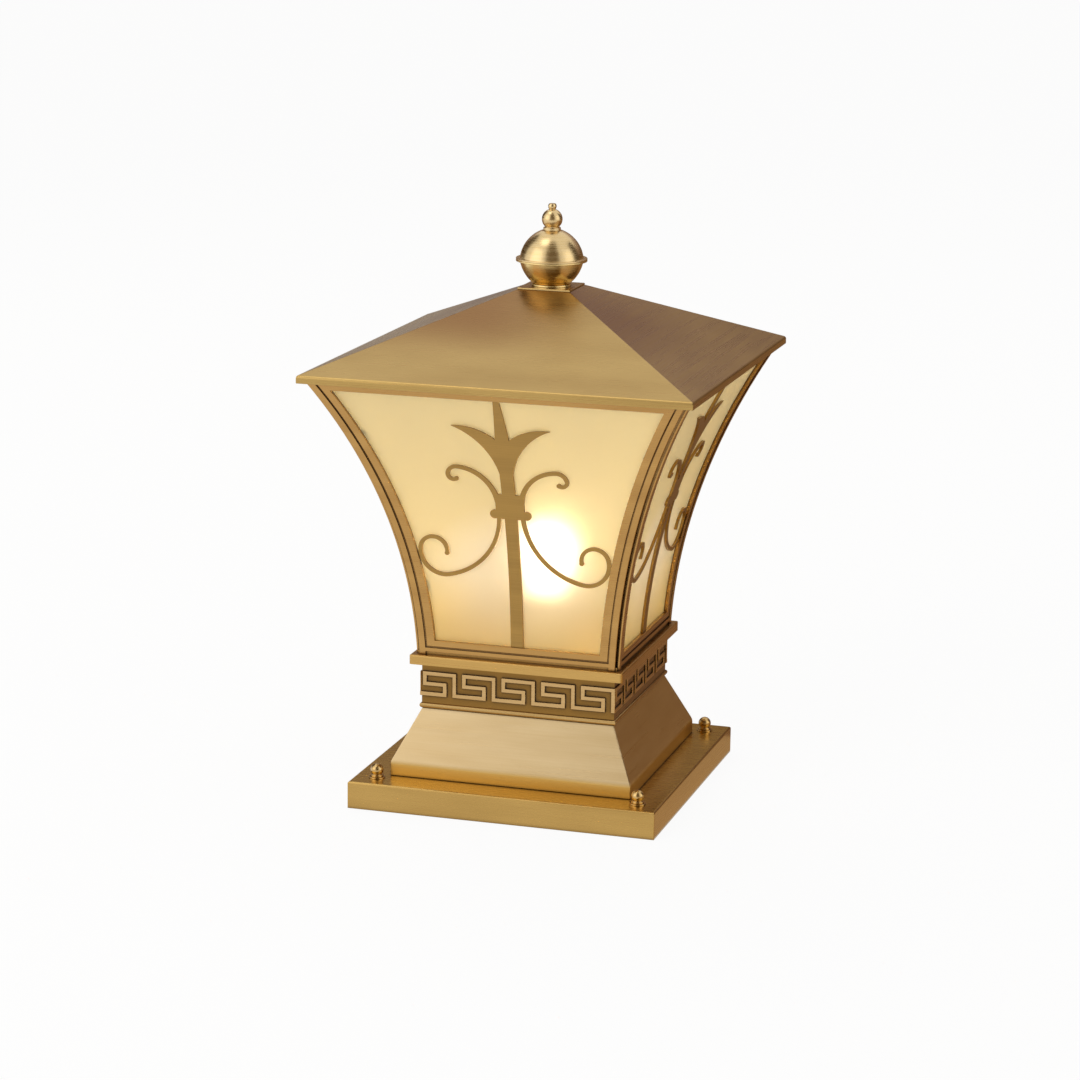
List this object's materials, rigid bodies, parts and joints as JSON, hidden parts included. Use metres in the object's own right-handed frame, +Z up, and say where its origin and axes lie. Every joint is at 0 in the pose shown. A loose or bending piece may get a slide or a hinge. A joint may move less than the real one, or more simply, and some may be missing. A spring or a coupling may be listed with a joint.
{
  "type": "pillar light",
  "caption": "Square pillar light with a flared lantern of curved frosted panes behind scrollwork, pyramid roof, ball finial, key-pattern neck and bolted base.",
  "frame": {"origin": "centre of the base's underside, on the pillar's top", "axes": "+Z up; the side with the front frame faces -Y; the part is square in plan"},
  "size_m": [0.2988, 0.2988, 0.451],
  "materials": {
    "antique_brass": "brushed antique brass, lacquered",
    "dark_brass": "brushed, darkened brass",
    "plated_steel": "zinc plated",
    "frosted_glass": "frosted, cream",
    "lamp_glass": "opal",
    "porcelain": "white glaze",
    "terminal_plastic": "natural nylon",
    "bush_rubber": "black rubber",
    "contact_brass": "bright brass"
  },
  "bodies": {
    "lantern_body": {"mounting_plate": "plated_steel", "anchor_studs": "plated_steel", "cable_bush": "bush_rubber", "terminal_block": "terminal_plastic", "earth_screw": "contact_brass", "base_tray": "antique_brass", "plinth_skirt": "antique_brass", "front_key_strip": "antique_brass", "right_key_strip": "antique_brass", "back_key_strip": "antique_brass", "left_key_strip": "antique_brass", "neck_bead": "antique_brass", "ledge_plate": "antique_brass", "lantern_ring": "antique_brass", "ring_screws": "plated_steel", "front_frame": "antique_brass", "right_frame": "antique_brass", "back_frame": "antique_brass", "left_frame": "antique_brass", "front_left_post": "dark_brass", "front_right_post": "dark_brass", "back_right_post": "dark_brass", "back_left_post": "dark_brass", "front_pane": "frosted_glass", "right_pane": "frosted_glass", "back_pane": "frosted_glass", "left_pane": "frosted_glass", "front_ornament": "dark_brass", "right_ornament": "dark_brass", "back_ornament": "dark_brass", "left_ornament": "dark_brass", "pane_clips": "plated_steel", "lamp_nipple": "contact_brass", "nipple_nut": "contact_brass", "holder_base": "porcelain", "holder_contact": "contact_brass", "holder_shell": "porcelain", "top_ring": "antique_brass", "crossbar": "plated_steel", "crossbar_screws": "plated_steel", "roof_rod": "plated_steel", "rod_nuts": "plated_steel"},
    "front_left_washer_body": {"front_left_washer": "antique_brass"},
    "front_left_nut_body": {"front_left_nut": "antique_brass"},
    "front_right_washer_body": {"front_right_washer": "antique_brass"},
    "front_right_nut_body": {"front_right_nut": "antique_brass"},
    "back_right_washer_body": {"back_right_washer": "antique_brass"},
    "back_right_nut_body": {"back_right_nut": "antique_brass"},
    "back_left_washer_body": {"back_left_washer": "antique_brass"},
    "back_left_nut_body": {"back_left_nut": "antique_brass"},
    "bulb_contact_body": {"bulb_contact": "plated_steel"},
    "bulb": {"bulb_cap": "plated_steel", "bulb_globe": "lamp_glass"},
    "roof": {"roof_shell": "antique_brass", "roof_cap_plate": "antique_brass", "finial_foot": "antique_brass", "finial_bowl": "antique_brass", "finial_dome": "antique_brass"},
    "finial_ring_body": {"finial_ring": "antique_brass"},
    "knob": {"finial_knob": "antique_brass"}
  },
  "joints": [
    {"name": "front_left_nut_lift", "type": "slide", "parent": "lantern_body", "child": "front_left_washer_body", "axis": [0, 0, 1], "range_m": [0, 0.0066]},
    {"name": "front_left_nut_turn", "type": "hinge", "parent": "front_left_washer_body", "child": "front_left_nut_body", "pos_m": [-0.1025, -0.1025, 0.022], "axis": [0, 0, 1], "range_deg": [0, 3000]},
    {"name": "front_right_nut_lift", "type": "slide", "parent": "lantern_body", "child": "front_right_washer_body", "axis": [0, 0, 1], "range_m": [0, 0.0066]},
    {"name": "front_right_nut_turn", "type": "hinge", "parent": "front_right_washer_body", "child": "front_right_nut_body", "pos_m": [0.1025, -0.1025, 0.022], "axis": [0, 0, 1], "range_deg": [0, 3000]},
    {"name": "back_right_nut_lift", "type": "slide", "parent": "lantern_body", "child": "back_right_washer_body", "axis": [0, 0, 1], "range_m": [0, 0.0066]},
    {"name": "back_right_nut_turn", "type": "hinge", "parent": "back_right_washer_body", "child": "back_right_nut_body", "pos_m": [0.1025, 0.1025, 0.022], "axis": [0, 0, 1], "range_deg": [0, 3000]},
    {"name": "back_left_nut_lift", "type": "slide", "parent": "lantern_body", "child": "back_left_washer_body", "axis": [0, 0, 1], "range_m": [0, 0.0066]},
    {"name": "back_left_nut_turn", "type": "hinge", "parent": "back_left_washer_body", "child": "back_left_nut_body", "pos_m": [-0.1025, 0.1025, 0.022], "axis": [0, 0, 1], "range_deg": [0, 3000]},
    {"name": "bulb_lift", "type": "slide", "parent": "lantern_body", "child": "bulb_contact_body", "axis": [0, 0, 1], "range_m": [0, 0.0181]},
    {"name": "bulb_turn", "type": "hinge", "parent": "bulb_contact_body", "child": "bulb", "pos_m": [0, 0, 0.14], "axis": [0, 0, 1], "range_deg": [0, 1810]},
    {"name": "roof_lift", "type": "slide", "parent": "lantern_body", "child": "roof", "axis": [0, 0, 1], "range_m": [0, 0.12]},
    {"name": "knob_lift", "type": "slide", "parent": "roof", "child": "finial_ring_body", "axis": [0, 0, 1], "range_m": [0, 0.0095]},
    {"name": "knob_turn", "type": "hinge", "parent": "finial_ring_body", "child": "knob", "pos_m": [0, 0, 0.436], "axis": [0, 0, 1], "range_deg": [0, 3430]}
  ],
  "couplings": [
    {"joint": "front_left_nut_turn", "follows": "front_left_nut_lift", "rad_per_m": 7854},
    {"joint": "front_right_nut_turn", "follows": "front_right_nut_lift", "rad_per_m": 7854},
    {"joint": "back_right_nut_turn", "follows": "back_right_nut_lift", "rad_per_m": 7854},
    {"joint": "back_left_nut_turn", "follows": "back_left_nut_lift", "rad_per_m": 7854},
    {"joint": "bulb_turn", "follows": "bulb_lift", "rad_per_m": 1735.7},
    {"joint": "knob_turn", "follows": "knob_lift", "rad_per_m": 6283.2}
  ]
}
